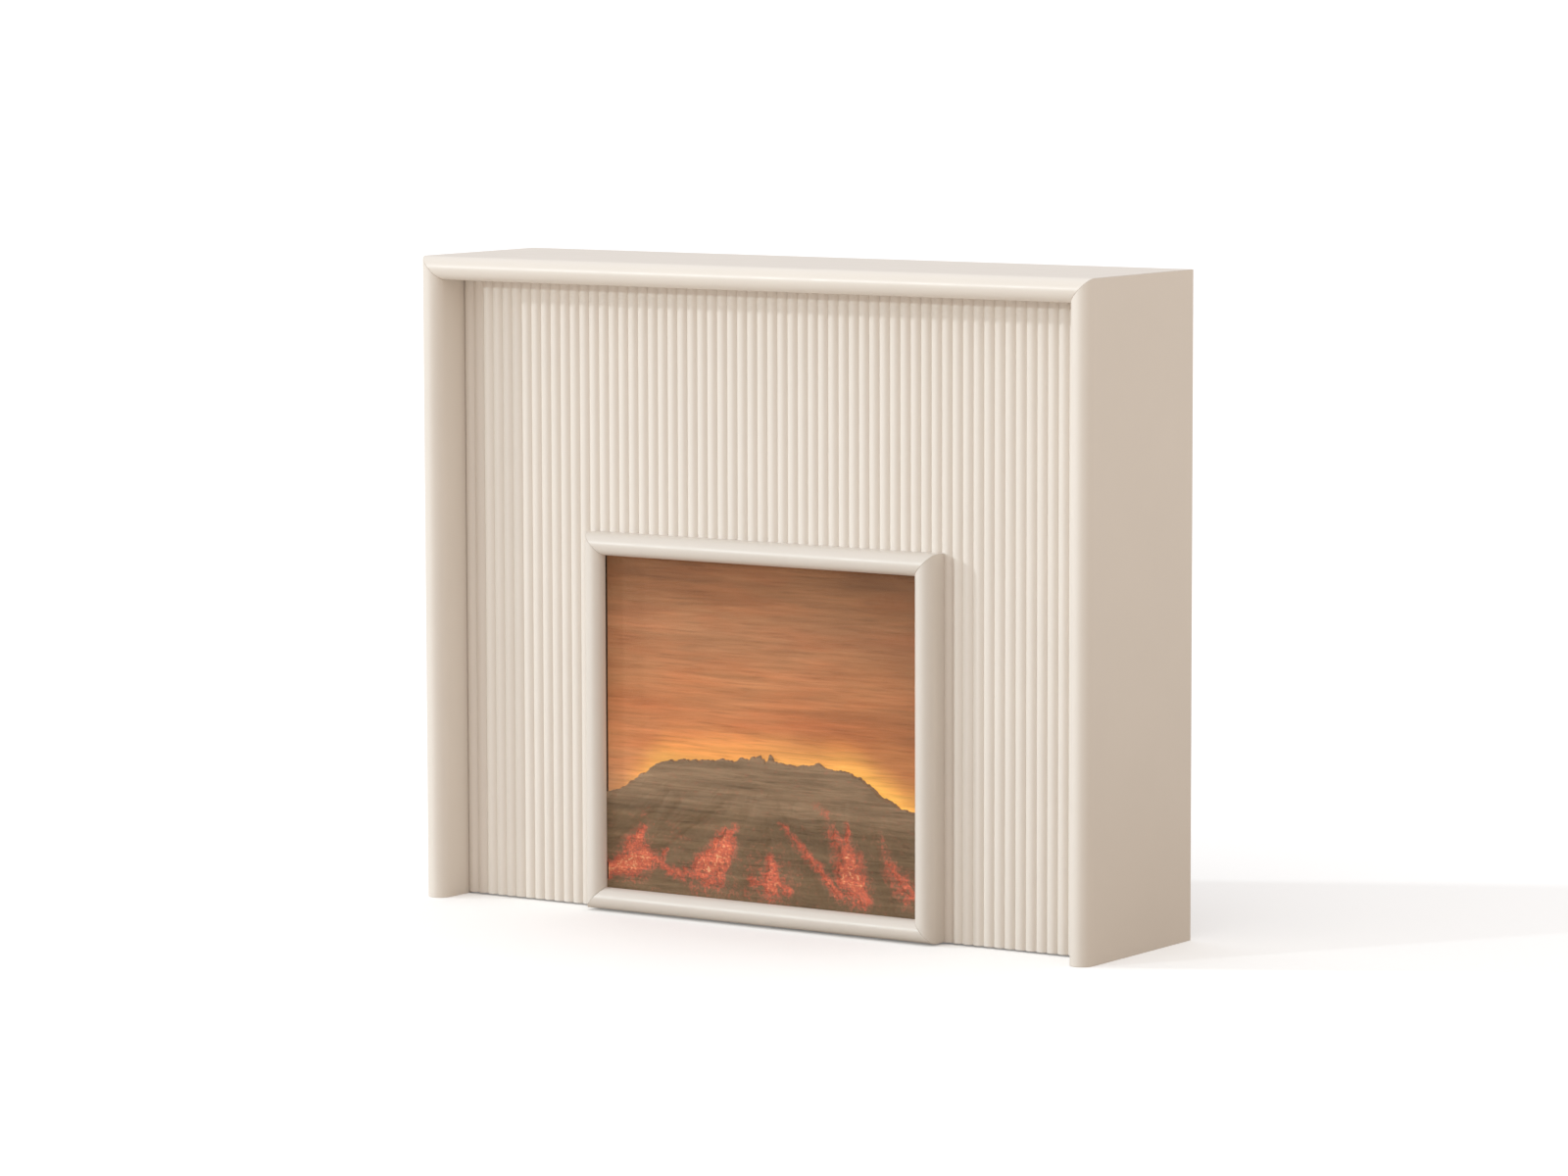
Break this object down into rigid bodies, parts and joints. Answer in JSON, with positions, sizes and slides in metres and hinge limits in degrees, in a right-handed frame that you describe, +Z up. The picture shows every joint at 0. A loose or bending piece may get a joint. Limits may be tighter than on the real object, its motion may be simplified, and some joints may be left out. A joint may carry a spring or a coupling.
{
  "type": "electric fireplace",
  "caption": "Free-standing mantel with half-round boards, a fluted front, and a framed glass over glowing logs, with a flame reflector and fan heater behind.",
  "frame": {"origin": "middle of the footprint, on the floor", "axes": "+Z up, -Y towards the viewer of the glass, +X to the right along the width"},
  "size_m": [1, 0.246, 0.826],
  "materials": {
    "cream_paint": "satin sprayed paint over fibreboard",
    "raw_board": "raw particle board and pine",
    "hardboard": "smooth brown hardboard",
    "glass": "clear polished",
    "black_steel": "black powder coat, fine texture",
    "zinc_steel": "bright zinc plated",
    "black_plastic": "fine moulded texture",
    "black_rubber": "matt",
    "bark_resin": "hand-painted grey-brown bark",
    "ember_resin": "translucent red-orange, lit from behind",
    "screen_acrylic": "translucent amber, lit from behind",
    "circuit_board": "solder mask",
    "mirror_foil": "polished reflector strip",
    "aluminium": "mill finish",
    "motor_steel": "satin dark grey",
    "bronze": "sintered bronze"
  },
  "bodies": {
    "casing": {"top_board": "cream_paint", "side_board_left": "cream_paint", "side_board_right": "cream_paint", "fluted_panel": "cream_paint", "frame_top_rail": "cream_paint", "frame_bottom_rail": "cream_paint", "frame_left_stile": "cream_paint", "frame_right_stile": "cream_paint", "base_board": "raw_board", "front_batten_left": "raw_board", "front_batten_right": "raw_board", "rear_batten_left": "raw_board", "rear_batten_right": "raw_board", "top_batten_front": "raw_board", "top_batten_rear": "raw_board", "back_panel": "hardboard", "glass_pane": "glass", "glass_gasket": "black_rubber", "firebox_shell": "black_steel", "rear_cover": "black_steel", "outlet_grille": "black_steel", "rotor_bracket_left": "zinc_steel", "rotor_bracket_right": "zinc_steel", "blower_housing": "zinc_steel", "cover_screw_1": "zinc_steel", "cover_screw_2": "zinc_steel", "cover_screw_3": "zinc_steel", "cover_screw_4": "zinc_steel", "insert_screw_1": "zinc_steel", "insert_screw_2": "zinc_steel", "insert_screw_3": "zinc_steel", "insert_screw_4": "zinc_steel", "floor_glide_front_left": "black_plastic", "floor_glide_front_right": "black_plastic", "floor_glide_rear_left": "black_plastic", "floor_glide_rear_right": "black_plastic", "thermal_cutout": "black_plastic", "power_switch_body": "black_plastic", "heat_switch_body": "black_plastic", "cord_gland": "black_plastic", "terminal_block": "black_plastic", "log_set": "bark_resin", "ember_bed": "ember_resin", "flame_screen": "screen_acrylic", "flame_light_board": "circuit_board", "ember_light_board": "circuit_board", "control_board": "circuit_board", "heating_element": "aluminium", "rotor_motor": "motor_steel", "blower_motor": "motor_steel", "rotor_bush": "bronze", "blower_bush": "bronze"},
    "flame_rotor": {"flame_rotor": "mirror_foil"},
    "blower_wheel": {"blower_wheel": "aluminium"},
    "power_rocker": {"power_rocker": "black_plastic"},
    "heat_rocker": {"heat_rocker": "black_plastic"}
  },
  "joints": [
    {"name": "flame_rotor_spin", "type": "hinge", "parent": "casing", "child": "flame_rotor", "pos_m": [0, 0.01, 0.15], "axis": [1, 0, 0], "continuous": true},
    {"name": "blower_wheel_spin", "type": "hinge", "parent": "casing", "child": "blower_wheel", "pos_m": [0, 0.042, 0.405], "axis": [1, 0, 0], "continuous": true},
    {"name": "power_rocker_tilt", "type": "hinge", "parent": "casing", "child": "power_rocker", "pos_m": [0.15, 0.0948, 0.08], "axis": [1, 0, 0], "range_deg": [0, 14]},
    {"name": "heat_rocker_tilt", "type": "hinge", "parent": "casing", "child": "heat_rocker", "pos_m": [0.105, 0.0948, 0.08], "axis": [1, 0, 0], "range_deg": [0, 14]}
  ]
}
